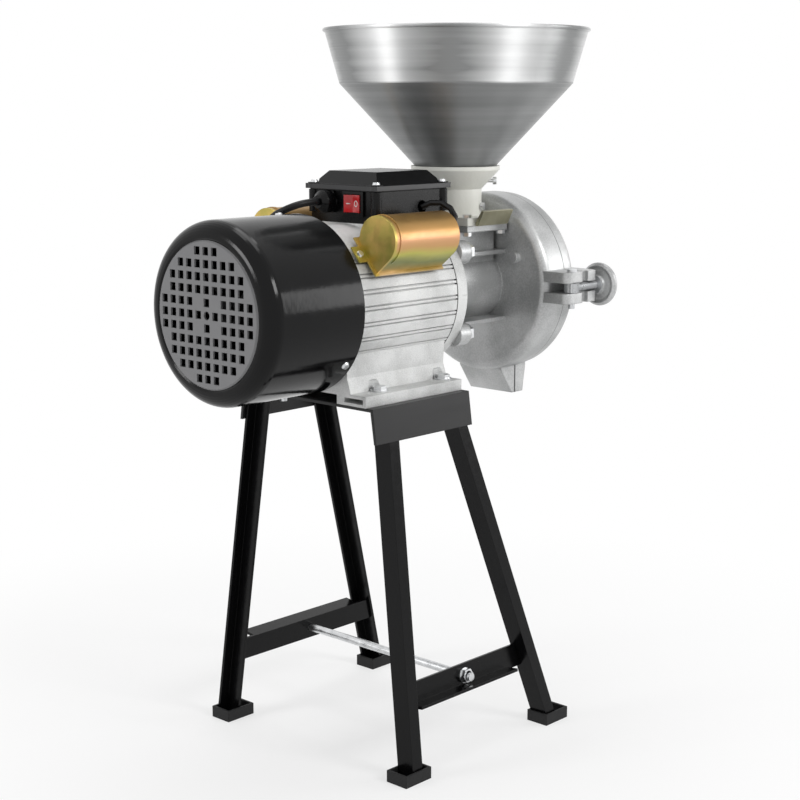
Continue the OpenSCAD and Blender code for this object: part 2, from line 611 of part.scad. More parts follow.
// Casing: bolting flange, auger housing, inlet duct, chamber shell and half of the spout
module mill_body() color("#a4a6a6") difference() {
    union() {
        axial(head_x0) cylinder(r = 56, h = 8);
        for (y = [-1, 1], z = [-1, 1]) {
            translate([head_x0, 0, 0]) lug(y, z) cylinder(r = 12, h = 16);
            translate([head_x0, 0, axis_h]) rotate([atan2(z * head_bolt_z, y * head_bolt_y), 0, 0])
                block([0.4, 30, -10], [9, norm([head_bolt_y, head_bolt_z]), 10]);
            block([head_x0 + 4, min(y * 8, y * rib_reach), axis_h + z * 36 - rib_t / 2],
                  [plate_x + 4, max(y * 8, y * rib_reach), axis_h + z * 36 + rib_t / 2]);
        }
        axial(head_x0) cylinder(r = neck_r, h = plate_x - head_x0 + 4);
        block([duct_x0, -duct_half, axis_h + 20], [duct_x1, duct_half, duct_top]);
        block([base_x[0] + 1, -base_y + 1, duct_top - duct_rim], [base_x[1] - 1, base_y - 1, duct_top]);
        axial() rotate_extrude($fn = 144) polygon(concat(
            [[0, plate_x], [chamber_r - 10, plate_x]],
            arc(chamber_r - 10, plate_x + 10, 10, -90, 0, 6),
            [[chamber_r, parting_x], [0, parting_x]]));
        translate([0, spout_half, 0]) rotate([90, 0, 0]) linear_extrude(2 * spout_half) polygon([
            [156, axis_h - 60], [160, axis_h - 95], [179, spout_z], [parting_x, spout_z],
            [parting_x, axis_h - 60]]);
        for (z = [-1, 1]) translate([0, 0, clamp_z + z * (ear_gap + ear_t) / 2 - ear_t / 2]) {
            block([152, -ear_end + 8, 0], [parting_x - 0.2, -80, ear_t]);
            block([160, -ear_end, 0], [parting_x - 8.2, -80, ear_t]);
            for (x = [160, parting_x - 8.2]) translate([x, -ear_end + 8, 0]) cylinder(r = 8, h = ear_t);
        }
        for (z = [-30, 18]) {
            block([parting_x - 14, 80, axis_h + z], [parting_x - 0.4, hinge_y, axis_h + z + 12]);
            translate([parting_x, hinge_y, axis_h + z]) cylinder(r = 9, h = 12);
        }
        translate([plate_x - 6, -56, 490]) rotate([0, 90, 0]) cylinder(r = 6, h = 8);
    }
    axial(head_x0 + 14) cylinder(r = auger_bore_r, h = 200);
    axial(head_x0 - 1) cylinder(r = 17, h = 10);
    axial(head_x0 - 1) cylinder(r = 11, h = 40);
    axial(plate_x + 8) cylinder(r = wall_in_r, h = 100);
    translate([hopper_x, 0, axis_h]) cylinder(r = feed_r, h = 100);
    translate([0, spout_half - 4, 0]) rotate([90, 0, 0]) linear_extrude(2 * spout_half - 8) polygon([
        [162, axis_h - 70], [165, axis_h - 95], [182, spout_z + 2], [182, spout_z - 1],
        [parting_x + 5, spout_z - 1], [parting_x + 5, axis_h - 70]]);
    for (y = [-1, 1], z = [-1, 1]) translate([head_x0 - 1, 0, 0]) lug(y, z) cylinder(r = 5.3, h = 20);
    translate([pin_x, -ear_y, clamp_z - 30]) cylinder(r = pin_r, h = 60);
    translate([parting_x, hinge_y, axis_h - 60]) cylinder(r = hinge_r, h = 120);
    for (x = base_bolt_x, y = [-1, 1]) translate([x, y * base_bolt_y, duct_top - 20])
        cylinder(r = 2.6, h = 22);
}
module head_bolts() color("#9da0a1") for (y = [-1, 1], z = [-1, 1])
    translate([head_x0 - 13, 0, 0]) lug(y, z) {
    cylinder(r = 4.9, h = 30);
    translate([0, 0, 29.1]) cylinder(r = 9.5, h = 1.6);
    translate([0, 0, 30]) hex(16, 7.4);
}
module shaft_seal() color("#1a1a1c") ring(head_x0 + 0.5, 8, 16.9, out_shaft_r + 0.1);

// Feed screw on a keyed sleeve
auger_x0 = 68;
auger_x1 = 166;
module auger() color("#8f9294") axial(auger_x0) difference() {
    linear_extrude(height = auger_x1 - auger_x0, twist = -360 * 3, slices = 48, $fn = 12) {
        circle(r = 13, $fn = 24);
        polygon(concat(arc(0, 0, 22.6, -16, 16, 4), arc(0, 0, 10, 16, -16, 2)));
    }
    translate([0, 0, -1]) cylinder(r = out_shaft_r, h = 110);
}
// Grinding ring with its spider hub; raised bars stand on the working face
module rotating_burr() color("#6f7274") axial(auger_x1) difference() {
    union() {
        cylinder(r = 17, h = 10);
        translate([0, 0, 2]) difference() {
            cylinder(r = burr_r, h = 7);
            translate([0, 0, -1]) cylinder(r = 30, h = 10);
        }
        for (i = [0:3]) rotate(i * 90) translate([10, -5, 2]) cube([26, 10, 6]);
        for (i = [0:23]) rotate(i * 15) translate([33, -1.2, 8]) cube([25, 2.4, 2.2]);
    }
    translate([0, 0, -1]) cylinder(r = out_shaft_r, h = 20);
}
// Ring that does not turn, with three guide pins into the door
fixed_x = auger_x1 + 11.4;
module fixed_burr() color("#77797b") axial() {
    difference() {
        union() {
            translate([0, 0, fixed_x + 2.2]) cylinder(r = burr_r, h = 8);
            for (i = [0:23]) rotate(i * 15 + 5) translate([33, -1.2, fixed_x]) cube([25, 2.4, 3]);
        }
        translate([0, 0, fixed_x - 1]) cylinder(r = 30, h = 8);
        translate([0, 0, fixed_x - 1]) cylinder(r = 12, h = 9);
    }
    for (a = burr_pins) rotate(a) translate([burr_pin_at, 0, fixed_x + 8]) cylinder(r = burr_pin_r, h = 16);
}

// Dished door with the other half of the spout, clamp ears, hinge knuckle and screw boss
module door() color("#a2a4a4") difference() {
    union() {
        axial() rotate_extrude($fn = 144) polygon(concat(
            [[0, parting_x + 0.6], [chamber_r - 1, parting_x + 0.6], [chamber_r - 1, parting_x + 9]],
            arc(chamber_r - 12, parting_x + 10.4, 11, 0, 90, 6),
            [[0, door_face]]));
        axial(door_face - 1) cylinder(r = 20, h = boss_x - door_face + 1);
        translate([0, spout_half, 0]) rotate([90, 0, 0]) linear_extrude(2 * spout_half) polygon([
            [parting_x + 0.6, axis_h - 60], [parting_x + 0.6, spout_z], [197.5, spout_z],
            [202, axis_h - 94], [202, axis_h - 60]]);
        for (z = [-1, 1]) translate([0, 0, clamp_z + z * (ear_gap + ear_t) / 2 - ear_t / 2]) {
            block([parting_x + 0.8, -ear_end + 6, 0], [205.5, -80, ear_t]);
            block([parting_x + 5, -ear_end + 1, 0], [201.5, -80, ear_t]);
        }
        block([parting_x + 0.6, 80, axis_h - 17], [parting_x + 12, hinge_y + 2, axis_h + 17]);
        translate([parting_x, hinge_y, axis_h - 17]) cylinder(r = 9, h = 34);
        for (i = [0:5]) rotate_about_shaft(i * 60 + 30)
            block([door_face - 2, 15, -3], [door_face + 5, 70, 3]);
    }
    axial(parting_x - 1) cylinder(r = wall_in_r - 1, h = door_in - parting_x + 1);
    axial(parting_x - 1) cylinder(r = screw_r + 0.05, h = 60);
    translate([0, spout_half - 4, 0]) rotate([90, 0, 0]) linear_extrude(2 * spout_half - 8) polygon([
        [parting_x - 1, axis_h - 70], [parting_x - 1, spout_z - 1], [194.5, spout_z - 1],
        [198, axis_h - 90], [198, axis_h - 70]]);
    for (a = burr_pins) axial(door_in - 3) rotate(a) translate([burr_pin_at, 0, 0])
        cylinder(r = burr_pin_r + 0.08, h = 30);
    block([parting_x, -130, clamp_z - ear_gap / 2], [230, -chamber_r, clamp_z + ear_gap / 2]);
    translate([parting_x, hinge_y, axis_h - 60]) cylinder(r = hinge_r, h = 120);
}
module rotate_about_shaft(a) translate([0, 0, axis_h]) rotate([a, 0, 0]) children();
// Flat ring in the joint, left open where the spout passes
module door_gasket() color("#d9d6cc") difference() {
    ring(parting_x, 0.6, chamber_r - 3, wall_in_r + 1);
    block([parting_x - 1, 4 - spout_half, axis_h - 120], [parting_x + 2, spout_half - 4, axis_h - 60]);
}
module hinge_pin() color("#b9bbbb") translate([parting_x, hinge_y, 0]) {
    translate([0, 0, axis_h - 32]) cylinder(r = hinge_r, h = 66);
    translate([0, 0, axis_h + 30]) cylinder(r = 6.5, h = 3.5);
}

/* ---------- clamp ---------- */

module clamp_pin() color("#c3c5c4") translate([pin_x, -ear_y, 0]) {
    translate([0, 0, clamp_z - 22]) cylinder(r = pin_r, h = 40);
    translate([0, 0, clamp_z + 16.5]) cylinder(r = 5.6, h = 3);
}
// Eye bolt that swings about the clamp pin
module swing_bolt() color("#b4b6b6") translate([pin_x, -ear_y, clamp_z]) difference() {
    union() {
        translate([0, 0, -5]) cylinder(r = 8, h = 10);
        rotate([0, 90, 0]) cylinder(r = bolt_r - 0.5, h = 64);
    }
    translate([0, 0, -20]) cylinder(r = pin_r + 0.05, h = 40);
}
module clamp_washer() color("#c9cbca") translate([wheel_x - 2.6, -ear_y, clamp_z])
    rotate([0, 90, 0]) difference() {
    cylinder(r = 10, h = 2);
    translate([0, 0, -1]) cylinder(r = bolt_r - 0.45, h = 5);
}
// Cast hand nut: a dished disc with a rolled rim and a hub
module clamp_wheel() color("#b6b8b8") translate([wheel_x, -ear_y, clamp_z]) rotate([0, 90, 0])
    rotate_extrude($fn = 72) polygon(concat(
        [[bolt_r - 0.45, 0], [9, 0], [10.5, 2.5], [wheel_r - 6, 3.5], [wheel_r - 3, 2.2]],
        arc(wheel_r - 3, 6.5, 3, -60, 90, 6),
        [[wheel_r - 5, 9], [wheel_r - 8, 8], [11, 7], [9.5, 13], [8, 14.5], [bolt_r - 0.45, 14.5]]));

/* ---------- burr adjuster ---------- */

module adjusting_screw() color("#b0b2b3") axial() {
    translate([0, 0, fixed_x + 10.3]) cylinder(r = screw_r, h = wheel_seat - fixed_x - 10.3);
    translate([0, 0, fixed_x + 10.3]) cylinder(r = 12, h = 4);
}
module adjusting_wheel() color("#aaacac") axial(wheel_seat - 7) difference() {
    union() {
        cylinder(r = 13, h = 10);
        rotate_extrude() translate([26, 5]) circle(r = 4.5, $fn = 32);
        for (i = [0:2]) rotate(i * 120) translate([8, -4, 2.5]) cube([17, 8, 5]);
    }
    translate([0, 0, -1]) cylinder(r = screw_r, h = 8);
}
module lock_nut() color("#b9bbbb") axial(boss_x) difference() {
    hex(26, 5.5);
    translate([0, 0, -1]) cylinder(r = screw_r + 0.05, h = 10);
}

/* ---------- feed throat, gate and hopper ---------- */

base_x = [hopper_x - 33, plate_x - 0.5];
base_y = 46;
base_t = 8;
base_bolt_x = [base_x[0] + 6, base_x[1] - 6];
base_bolt_y = base_y - 6;
cone_slope = (shoulder_r - tube_r) / (shoulder_z - cone_z);
module feed_throat() color("#dcdcd6") difference() {
    union() {
        block([base_x[0], -base_y, throat_z0], [base_x[1], base_y, throat_z0 + base_t]);
        translate([hopper_x, 0, throat_z0 + base_t - 1]) cylinder(r = throat_neck_r, h = 30);
        translate([hopper_x, 0, 562]) cylinder(r1 = throat_neck_r, r2 = 47, h = 20);
        translate([hopper_x, 0, 582 - eps]) cylinder(r = 47, h = throat_z1 - 582);
    }
    translate([hopper_x, 0, throat_z0 - 1]) cylinder(r = feed_r, h = 40);
    translate([hopper_x, 0, tube_z - 1]) cylinder(r = tube_r + seat_gap, h = 50);
    translate([hopper_x, 0, cone_z - seat_gap])
        cylinder(r1 = tube_r + seat_gap, r2 = tube_r + seat_gap + 30 * cone_slope, h = 30);
    block([gate_x - gate_w / 2 - 0.4, -60, throat_z0 - 1],
          [gate_x + gate_w / 2 + 0.4, 27, gate_z0 + gate_t + 0.4]);
    for (x = base_bolt_x, y = [-1, 1]) translate([x, y * base_bolt_y, throat_z0 - 1])
        cylinder(r = 2.6, h = 20);
    for (a = clip_neck) clip(a, clip_neck_z) translate([0, 0, 15]) cylinder(r = 2, h = 20);
    for (a = clip_cone) clip(a, clip_cone_z) translate([0, 0, 20]) cylinder(r = 2, h = 30);
}
// Local z points away from the hopper axis at angle a and height z
module clip(a, z) translate([hopper_x, 0, z]) rotate([0, 0, a]) rotate([0, 90, 0]) children();
// Bolts at the corners of the throat flange
module throat_bolts() color("#c8cac8") for (x = base_bolt_x, y = [-1, 1])
    translate([x, y * base_bolt_y, throat_z0]) {
    translate([0, 0, duct_rim - 16]) cylinder(r = 2.5, h = base_t + 16 - duct_rim);
    translate([0, 0, base_t]) hex(8, 3.6);
    translate([0, 0, -duct_rim - 4]) hex(8, 4);
}
// Sheet that closes the throat, with a bent-up tab to pull it out by
module slide_gate() color("#8d8b6a") {
    block([gate_x - gate_w / 2, -50, gate_z0], [gate_x + gate_w / 2, 26, gate_z0 + gate_t]);
    translate([gate_tab[0], 0, 0]) rotate([90, 0, 90]) linear_extrude(gate_tab[1]) polygon([
        [-49, gate_z0], [-49, gate_z0 + gate_t], [-57, gate_z0 + 16], [-60, gate_z0 + 15], [-52.5, gate_z0]]);
}
module hopper() color("#bfc2c3") translate([hopper_x, 0, 0]) rotate_extrude($fn = 180) polygon(concat(
    [[tube_r, tube_z], [tube_r, cone_z], [shoulder_r, shoulder_z], [hopper_r, hopper_top - 4]],
    arc(hopper_r + 0.6, hopper_top - lip_r, lip_r, -100, 130, 8),
    [[hopper_r - hopper_t, hopper_top - 4], [shoulder_r - hopper_t, shoulder_z + 0.6],
     [tube_r - hopper_t, cone_z + 0.6], [tube_r - hopper_t, tube_z]]));
// Small screws that pinch the hopper in its seat
module hopper_screws() color("#d2d4d2") {
    for (a = clip_neck) clip(a, clip_neck_z) {
        translate([0, 0, tube_r + seat_gap]) cylinder(r = 1.95, h = 7);
        translate([0, 0, throat_neck_r + 0.4]) cylinder(r = 4, h = 3.6);
    }
    for (a = clip_cone) clip(a, clip_cone_z) {
        translate([0, 0, 30.4]) cylinder(r = 1.95, h = 10);
        translate([0, 0, 40]) cylinder(r = 4, h = 3.6);
    }
}

/* ---------- mains lead ---------- */

module power_cord() color("#0e0f10") {
    tube(cord_route, cord_d / 2, [1, 1, 0.5], 10);
    tube(tail_route, cord_d / 2, [0, 1, 0], 10);
}
module cord_coil() color("#121314") translate(coil_c) rotate([90, 0, 0])
    rotate_extrude() translate([coil_in_r, -coil_half]) square([coil_out_r - coil_in_r, 2 * coil_half]);
module plug() color("#111213") translate(plug_c) rotate([180, 0, 0]) {
    translate([0, 0, 14]) cylinder(r = 10, h = 24);
    cylinder(r1 = 5, r2 = 10, h = 14);
    for (x = [-6.35, 6.35]) translate([x - 3.2, -0.8, 38]) cube([6.4, 1.6, 17]);
}
// Strap that keeps the turns together
module cord_tie() color("#050505") translate([coil_c[0] - 2.5, coil_c[1], coil_c[2] + coil_mid_r])
    rotate([90, 0, 90])
    linear_extrude(5) difference() {
        square([2 * coil_half + 2.4, coil_out_r - coil_in_r + 2.4], center = true);
        square([2 * coil_half + 0.4, coil_out_r - coil_in_r + 0.4], center = true);
    }

centred() stand_top();
centred() leg_fan_near();
centred() leg_fan_far();
centred() leg_head_near();
centred() leg_head_far();
centred() crossbar_near();
centred() crossbar_far();
centred() foot_pads();
centred() tie_rod();
centred() tie_rod_nuts();
centred() motor_foot_bolts();
centred() motor_frame();
centred() stator_core();
centred() windings();
centred() rear_end_shield();
centred() front_end_shield();
centred() shield_screws();
centred() bearing_outer_races();
centred() bearing_inner_races();
centred() shaft();
centred() rotor_core();
centred() fan();
centred() fan_cowl();
centred() cover_screws();
centred() capacitor_cover_near();
centred() capacitor_cover_far();
centred() capacitors();
centred() capacitor_leads();
centred() switch_box();
centred() box_gasket();
centred() box_lid();
centred() lid_screws();
centred() switch_body();
centred() rocker();
centred() cable_gland();
centred() mill_body();
centred() head_bolts();
centred() shaft_seal();
centred() auger();
centred() rotating_burr();
centred() fixed_burr();
centred() door();
centred() door_gasket();
centred() hinge_pin();
centred() clamp_pin();
centred() swing_bolt();
centred() clamp_washer();
centred() clamp_wheel();
centred() adjusting_screw();
centred() adjusting_wheel();
centred() lock_nut();
centred() feed_throat();
centred() throat_bolts();
centred() slide_gate();
centred() hopper();
centred() hopper_screws();
centred() power_cord();
centred() cord_coil();
centred() plug();
centred() cord_tie();
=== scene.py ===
import bpy
import numpy as np
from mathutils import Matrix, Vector


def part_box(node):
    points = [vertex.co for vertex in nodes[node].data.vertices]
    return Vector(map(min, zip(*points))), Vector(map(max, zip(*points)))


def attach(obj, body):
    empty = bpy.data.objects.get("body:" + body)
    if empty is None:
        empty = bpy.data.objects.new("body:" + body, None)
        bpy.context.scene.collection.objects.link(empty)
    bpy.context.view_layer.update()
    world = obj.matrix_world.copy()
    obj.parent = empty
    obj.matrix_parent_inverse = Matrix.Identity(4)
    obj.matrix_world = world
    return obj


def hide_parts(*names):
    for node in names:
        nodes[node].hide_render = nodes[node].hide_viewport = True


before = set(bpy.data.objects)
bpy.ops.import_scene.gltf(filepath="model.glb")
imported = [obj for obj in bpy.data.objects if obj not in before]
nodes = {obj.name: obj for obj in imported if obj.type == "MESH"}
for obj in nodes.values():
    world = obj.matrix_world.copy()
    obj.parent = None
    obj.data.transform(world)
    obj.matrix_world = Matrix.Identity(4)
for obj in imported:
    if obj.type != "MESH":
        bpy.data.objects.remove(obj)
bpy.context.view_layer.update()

# ---------------------------------------------------------------- camera, light and floor
# The machine stands on white paper in a studio and is seen from the fan's side, a little
# above the motor shaft. Four large soft lamps stand round it; the walls are plain white.
camera_at = Vector((-1.20917, -1.14135, 0.65816))
looks_at = Vector((0.0177, 0.0, 0.3452))
focal_length, film_width = 73.23, 36.0
lamps_face = Vector((0.05, 0, 0.42))
wall_light, wall_as_seen = 0.46, 1.0
paper_half = 9.0
feet_reach, paper_ends = 0.25, 0.85
white_at_feet = 0.6

lens = bpy.data.cameras.new("camera")
lens.lens = focal_length
lens.sensor_width = film_width
camera = bpy.data.objects.new("camera", lens)
camera.location = camera_at
camera.rotation_euler = (looks_at - camera_at).to_track_quat("-Z", "Y").to_euler()
bpy.context.collection.objects.link(camera)
bpy.context.scene.camera = camera
bpy.context.scene.view_settings.view_transform = "Standard"


def soft_lamp(name, at, side, watts):
    """A square area lamp of the given side, turned to face the middle of the machine."""
    data = bpy.data.lights.new(name, "AREA")
    data.size = side
    data.energy = watts
    lamp = bpy.data.objects.new(name, data)
    lamp.location = at
    lamp.rotation_euler = (lamps_face - Vector(at)).to_track_quat("-Z", "Y").to_euler()
    bpy.context.collection.objects.link(lamp)


def reckon(tree, operation, *terms):
    """One step of arithmetic over a surface. Each term is a number or what a node gives."""
    step = tree.nodes.new("ShaderNodeMath")
    step.operation = operation
    for socket, term in zip(step.inputs, terms):
        if isinstance(term, bpy.types.NodeSocket):
            tree.links.new(term, socket)
        else:
            socket.default_value = term
    return step.outputs[0]


def spread(tree, value, start, end, low=0.0, high=1.0, course="LINEAR"):
    """Low where the value is start or less, high from end on, and in step between them."""
    scale = tree.nodes.new("ShaderNodeMapRange")
    scale.interpolation_type = course
    limits = {"From Min": start, "From Max": end, "To Min": low, "To Max": high}
    for field, number in limits.items():
        scale.inputs[field].default_value = number
    tree.links.new(value, scale.inputs["Value"])
    return scale.outputs["Result"]


def how_far(tree, middle=(0, 0, 0), axes=(1, 1, 1)):
    """The length of the line from the middle to each point, along the axes that are 1."""
    here = tree.nodes.new("ShaderNodeTexCoord")
    shift = tree.nodes.new("ShaderNodeMapping")
    shift.inputs["Location"].default_value = [-number for number in middle]
    shift.inputs["Scale"].default_value = axes
    length = tree.nodes.new("ShaderNodeVectorMath")
    length.operation = "LENGTH"
    tree.links.new(here.outputs["Object"], shift.inputs["Vector"])
    tree.links.new(shift.outputs["Vector"], length.inputs[0])
    return length.outputs["Value"]


def shows_white(tree):
    """1 for rays from the eye and for those that gloss or glass send on, otherwise 0: the
    largest of the three."""
    ray = tree.nodes.new("ShaderNodeLightPath")
    seen = ray.outputs["Is Camera Ray"]
    for kind in ("Is Glossy Ray", "Is Transmission Ray"):
        seen = reckon(tree, "MAXIMUM", seen, ray.outputs[kind])
    return seen


def coat(name, colour, roughness, metallic=0.0, specular=0.5, sockets=()):
    """A surface with its plain values on its own sockets: the material, its node tree and
    its shader."""
    made = bpy.data.materials.new(name)
    made.use_nodes = True
    shader = made.node_tree.nodes["Principled BSDF"]
    shader.inputs["Base Color"].default_value = (*colour, 1)
    shader.inputs["Roughness"].default_value = roughness
    shader.inputs["Metallic"].default_value = metallic
    shader.inputs["Specular IOR Level"].default_value = specular
    for socket, value in sockets:
        shader.inputs[socket].default_value = value
    return made, made.node_tree, shader


soft_lamp("key_lamp", (0.25, -2.2, 1.8), side=0.7, watts=22)
soft_lamp("side_lamp", (-2.3, 1.0, 1.2), side=0.7, watts=16)
soft_lamp("top_lamp", (0.3, 0.2, 2.4), side=1.2, watts=15)
soft_lamp("right_lamp", (1.9, -1.7, 0.9), side=0.9, watts=11)

studio = bpy.data.worlds.new("studio")
bpy.context.scene.world = studio
studio.use_nodes = True
tree = studio.node_tree
tree.nodes.clear()
walls = tree.nodes.new("ShaderNodeMixShader")
tree.links.new(shows_white(tree), walls.inputs["Fac"])
for socket, strength in ((1, wall_light), (2, wall_as_seen)):
    wall = tree.nodes.new("ShaderNodeBackground")
    wall.inputs["Color"].default_value = (1, 1, 1, 1)
    wall.inputs["Strength"].default_value = strength
    tree.links.new(wall.outputs[0], walls.inputs[socket])
tree.links.new(walls.outputs[0], tree.nodes.new("ShaderNodeOutputWorld").inputs["Surface"])

sheet = bpy.data.meshes.new("floor")
corners = paper_half * np.array([(-1, -1, 0), (1, -1, 0), (1, 1, 0), (-1, 1, 0)])
sheet.from_pydata(corners.tolist(), [], [(0, 1, 2, 3)])
floor = bpy.data.objects.new("floor", sheet)
bpy.context.collection.objects.link(floor)
white_paper, tree, paper = coat("white_paper", (0.93, 0.93, 0.93), 0.9, specular=0.1)
# Away from the feet the paper runs into the white of the walls, to the eye and in reflections.
fading = spread(tree, how_far(tree), feet_reach, paper_ends, low=white_at_feet,
                course="SMOOTHSTEP")
white_light = tree.nodes.new("ShaderNodeEmission")
into_white = tree.nodes.new("ShaderNodeMixShader")
tree.links.new(reckon(tree, "MULTIPLY", shows_white(tree), fading), into_white.inputs["Fac"])
tree.links.new(paper.outputs["BSDF"], into_white.inputs[1])
tree.links.new(white_light.outputs["Emission"], into_white.inputs[2])
tree.links.new(into_white.outputs[0], tree.nodes["Material Output"].inputs["Surface"])
sheet.materials.append(white_paper)

# ---------------------------------------------------------------- mains cord, plug and tie
# Round black PVC cable. It leaves the gland, drops behind the motor, is wound in a coil that
# stands on the far motor foot, and its last stretch climbs over the coil to the plug.
cord_radius = 0.0035
cord_down = 0.001 * np.array([
    (-82.3, 18, 555.5), (-86.8, 18, 555.5), (-91.3, 18, 555.5), (-102, 19.9, 554.5),
    (-111.1, 25.1, 551.5), (-117.2, 33.1, 547), (-119.3, 42.4, 541.8), (-119.3, 58.5, 529.2),
    (-119.2, 70.9, 514.9), (-119.3, 79.8, 501), (-118.9, 84.4, 490), (-116.3, 87.2, 479),
    (-110.5, 88.2, 469.6), (-102.1, 87.2, 461.4), (-94.1, 84.8, 452.6), (-87.9, 82.2, 441.5),
    (-84.9, 80.5, 431.5)])
cord_tail = 0.001 * np.array([
    (6.9, 88.4, 443.6), (1.2, 91.3, 454.5), (-7.1, 94.6, 463.5), (-17.9, 97, 469.1),
    (-30, 99.4, 469.6), (-41.2, 101.4, 465), (-49.3, 102.7, 456), (-52.7, 103, 446.9),
    (-53.1, 103, 440), (-53.1, 103, 436)])
coil_centre = np.array([-0.0373, 0.0835, 0.4275])
outer_turn = 0.047
coil_starts, coil_turned, once_round = 186, 1624, 360
going_over = 70
cord_step, cord_sides = 0.0035, 16


def smooth_through(points, spans=8):
    """Catmull-Rom curve: a cubic through each pair of points, with the slope at a point
    half the difference of its two neighbours."""
    p = np.vstack([2 * points[0] - points[1], points, 2 * points[-1] - points[-2]])
    t = np.linspace(0, 1, spans, endpoint=False)[:, None]
    a, b, c, d = p[:-3, None], p[1:-2, None], p[2:-1, None], p[3:, None]
    curve = 0.5 * (2 * b + (c - a) * t + (2 * a - 5 * b + 4 * c - d) * t**2
                   + (3 * b - a - 3 * c + d) * t**3)
    return np.vstack([curve.reshape(-1, 3), points[-1:]])


def ease(x, start, end):
    """0 up to start, 1 from end, and the cubic 3t^2 - 2t^3 between them."""
    t = np.clip((x - start) / (end - start), 0, 1)
    return t * t * (3 - 2 * t)


def wound_coil(step=5.0):
    """Turns that lie a cord's width apart, in two columns of three rows, over degrees of
    winding. The radius falls by a cord's width in each of the first two turns, and rises
    again in the last two; where it changes it follows ease, and the next turn changes at the
    same place. Half way along, the side goes over from one column to the other."""
    wound = np.append(np.arange(0, coil_turned, step), coil_turned)
    even = (coil_turned - 4 * once_round) / 2
    from_end = np.minimum(wound, coil_turned - wound)
    rows_in = (ease(from_end, even, once_round)
               + ease(from_end, once_round + even, 2 * once_round))
    radius = outer_turn - 2 * cord_radius * rows_in
    over = ease(wound, coil_turned / 2 - going_over, coil_turned / 2 + going_over)
    side = cord_radius * (2 * over - 1)
    angle = np.radians(coil_starts + wound)
    return coil_centre + np.stack([radius * np.cos(angle), side, radius * np.sin(angle)], 1)


def even_steps(line, step):
    """The same line, with its points at equal distances along it."""
    run = np.concatenate([[0], np.cumsum(np.linalg.norm(np.diff(line, axis=0), axis=1))])
    at = np.linspace(0, run[-1], int(run[-1] / step) + 1)
    return np.stack([np.interp(at, run, line[:, k]) for k in range(3)], 1)


def tube_along(line, radius, sides):
    """Circles of one radius carried along a line. The first direction of each circle is
    that of the circle before, made square to the line, so the tube doesn't twist."""
    along = np.gradient(line, axis=0)
    along /= np.linalg.norm(along, axis=1)[:, None]
    first = np.empty_like(line)
    direction = np.cross(along[0], (0.3, 1.0, 0.2))
    for i, t in enumerate(along):
        direction = direction - np.dot(direction, t) * t
        direction /= np.linalg.norm(direction)
        first[i] = direction
    second = np.cross(along, first)
    a = np.linspace(0, 2 * np.pi, sides, endpoint=False)[None, :, None]
    return line[:, None] + radius * (np.cos(a) * first[:, None] + np.sin(a) * second[:, None])


def surface(name, grid, body, finish, wrap=False, capped=False):
    """A piece whose points are a grid of rows and columns: each cell is one face. With wrap
    the last column joins the first; capped shuts the first and last row."""
    rows, columns = grid.shape[:2]
    i, j = np.meshgrid(np.arange(rows - 1), np.arange(columns - (not wrap)), indexing="ij")
    k = (j + 1) % columns
    cells = np.stack([i * columns + j, i * columns + k, (i + 1) * columns + k,
                      (i + 1) * columns + j], -1).reshape(-1, 4).tolist()
    if capped:
        cells += [list(range(columns))[::-1], list(range((rows - 1) * columns, rows * columns))]
    mesh = bpy.data.meshes.new(name)
    mesh.from_pydata(grid.reshape(-1, 3).tolist(), [], cells)
    mesh.polygons.foreach_set("use_smooth", [len(c) == 4 for c in cells])
    mesh.materials.append(finish)
    piece = bpy.data.objects.new(name, mesh)
    bpy.context.collection.objects.link(piece)
    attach(piece, body)
    return piece


def grain(tree, scale, detail=4.0, stretch=(1, 1, 1)):
    """Noise over the piece's own coordinates: scale counts its cells to the metre, and
    stretch multiplies the scale along each axis."""
    here = tree.nodes.new("ShaderNodeTexCoord")
    drawn_out = tree.nodes.new("ShaderNodeMapping")
    drawn_out.inputs["Scale"].default_value = stretch
    noise = tree.nodes.new("ShaderNodeTexNoise")
    noise.inputs["Scale"].default_value = scale
    noise.inputs["Detail"].default_value = detail
    tree.links.new(here.outputs["Object"], drawn_out.inputs["Vector"])
    tree.links.new(drawn_out.outputs["Vector"], noise.inputs["Vector"])
    return noise.outputs["Fac"]


def between(tree, noise, low, high, socket, faintest=0.3, strongest=0.7):
    """Carries noise, which lies mostly from 0.3 to 0.7, to a socket as low to high."""
    tree.links.new(spread(tree, noise, faintest, strongest, low, high), socket)


def relief(tree, shader, height, depth, edge=0.0):
    """Bumps of the given depth in metres over edges that are broken to the given radius."""
    bump = tree.nodes.new("ShaderNodeBump")
    bump.inputs["Distance"].default_value = depth
    tree.links.new(height, bump.inputs["Height"])
    if edge:
        broken = tree.nodes.new("ShaderNodeBevel")
        broken.samples = 4
        broken.inputs["Radius"].default_value = edge
        tree.links.new(broken.outputs["Normal"], bump.inputs["Normal"])
    tree.links.new(bump.outputs["Normal"], shader.inputs["Normal"])


def dress(finish, *names):
    """Gives a finish to CAD nodes."""
    for name in names:
        nodes[name].data.materials.clear()
        nodes[name].data.materials.append(finish)


cord_sheath, tree, shader = coat("cord_sheath", (0.006, 0.006, 0.0065), 0.4, specular=0.25)
pvc = grain(tree, 900)
between(tree, pvc, 0.36, 0.5, shader.inputs["Roughness"])
relief(tree, shader, pvc, depth=0.00004)

cord_line = np.vstack([smooth_through(cord_down), wound_coil(), smooth_through(cord_tail)])
cord_path = even_steps(cord_line, cord_step)
cord = surface("mains_cord", tube_along(cord_path, cord_radius, cord_sides), "housing",
               cord_sheath, wrap=True, capped=True)
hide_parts("power_cord", "cord_coil")
dress(cord_sheath, "plug", "cord_tie")

